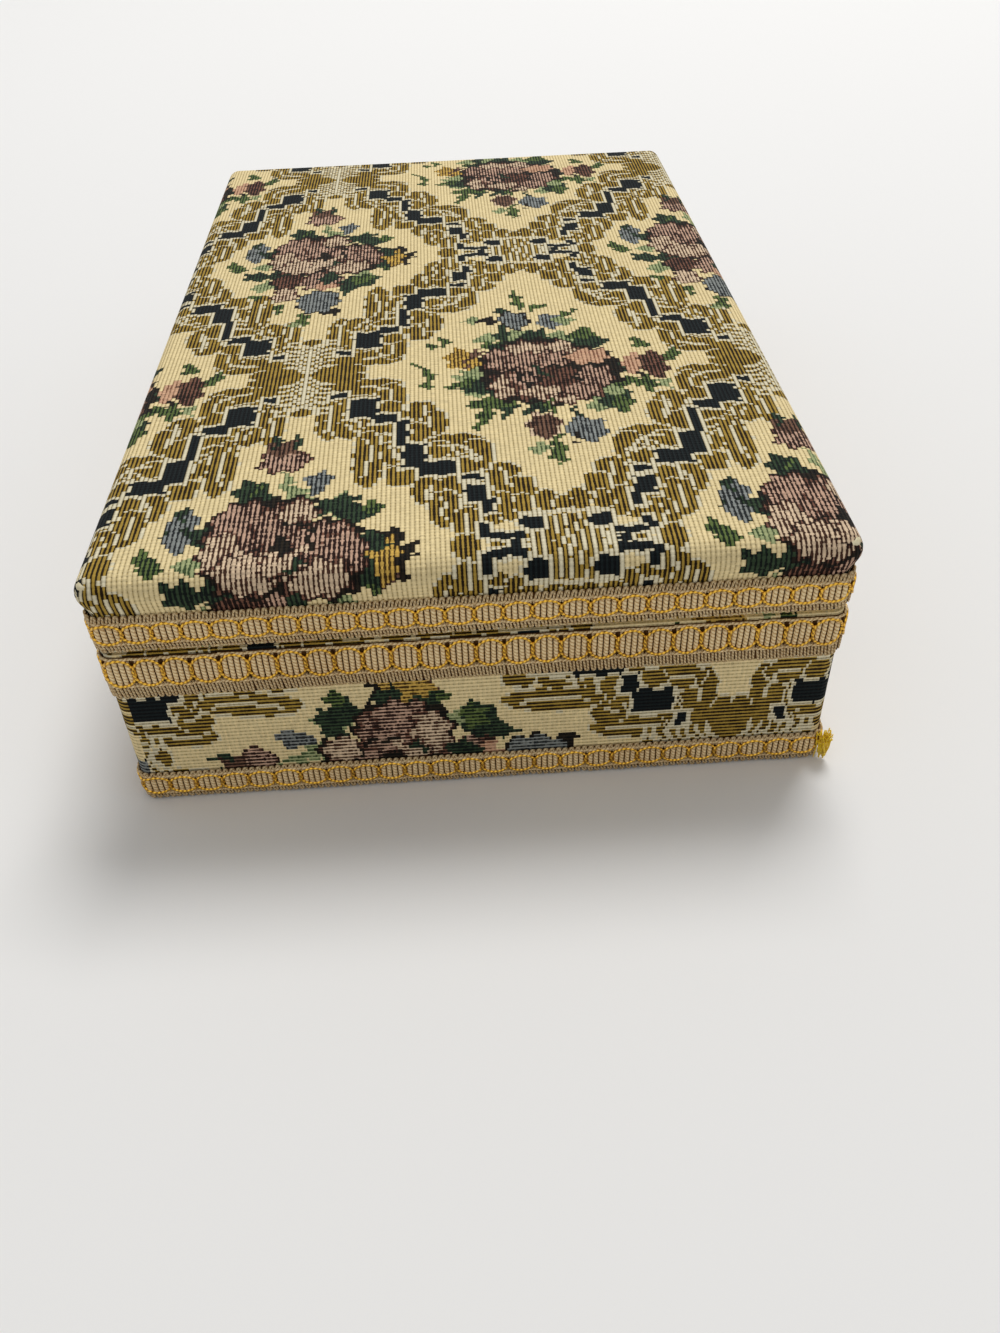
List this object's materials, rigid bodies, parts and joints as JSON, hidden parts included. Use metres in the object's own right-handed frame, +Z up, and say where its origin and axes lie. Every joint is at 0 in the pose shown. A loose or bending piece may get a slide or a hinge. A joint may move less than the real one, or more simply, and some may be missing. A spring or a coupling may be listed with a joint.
{
  "type": "brocade keepsake box",
  "caption": "Rectangular cloth-covered board box with a padded lid hinged on one long side, satin lining and gimp braid round rim, foot and lid.",
  "frame": {"origin": "on the table, under the middle of the closed box", "axes": "+X across the box, away from the hinge; +Y along the box, from the near end to the far end; +Z up"},
  "size_m": [0.1626, 0.2626, 0.065],
  "materials": {
    "greyboard": "matte",
    "underside_paper": "matte",
    "brocade": "matte",
    "satin_lining": "satin",
    "braid": "satin",
    "tuft_yarn": "satin",
    "hinge_cloth": "matte",
    "foam": "matte"
  },
  "bodies": {
    "base": {"base_floor_board": "greyboard", "base_front_board": "greyboard", "base_back_board": "greyboard", "base_left_board": "greyboard", "base_right_board": "greyboard", "base_underside_paper": "underside_paper", "base_cover_cloth": "brocade", "base_lining_front": "satin_lining", "base_lining_back": "satin_lining", "base_lining_left": "satin_lining", "base_lining_right": "satin_lining", "base_floor_pad": "satin_lining", "base_rim_braid": "braid", "base_foot_braid": "braid", "foot_braid_tuft": "tuft_yarn", "hinge_cloth_base_leaf": "hinge_cloth"},
    "lid": {"lid_top_board": "greyboard", "lid_front_rim": "greyboard", "lid_back_rim": "greyboard", "lid_left_rim": "greyboard", "lid_right_rim": "greyboard", "lid_foam_pad": "foam", "lid_cover_cloth": "brocade", "lid_lining_top": "satin_lining", "lid_lining_front": "satin_lining", "lid_lining_back": "satin_lining", "lid_lining_left": "satin_lining", "lid_lining_right": "satin_lining", "lid_braid": "braid", "hinge_cloth_lid_leaf": "hinge_cloth"}
  },
  "joints": [
    {"name": "lid_hinge", "type": "hinge", "parent": "base", "child": "lid", "pos_m": [-0.0816, 0, 0.04445], "axis": [0, -1, 0], "range_deg": [0, 170]}
  ]
}
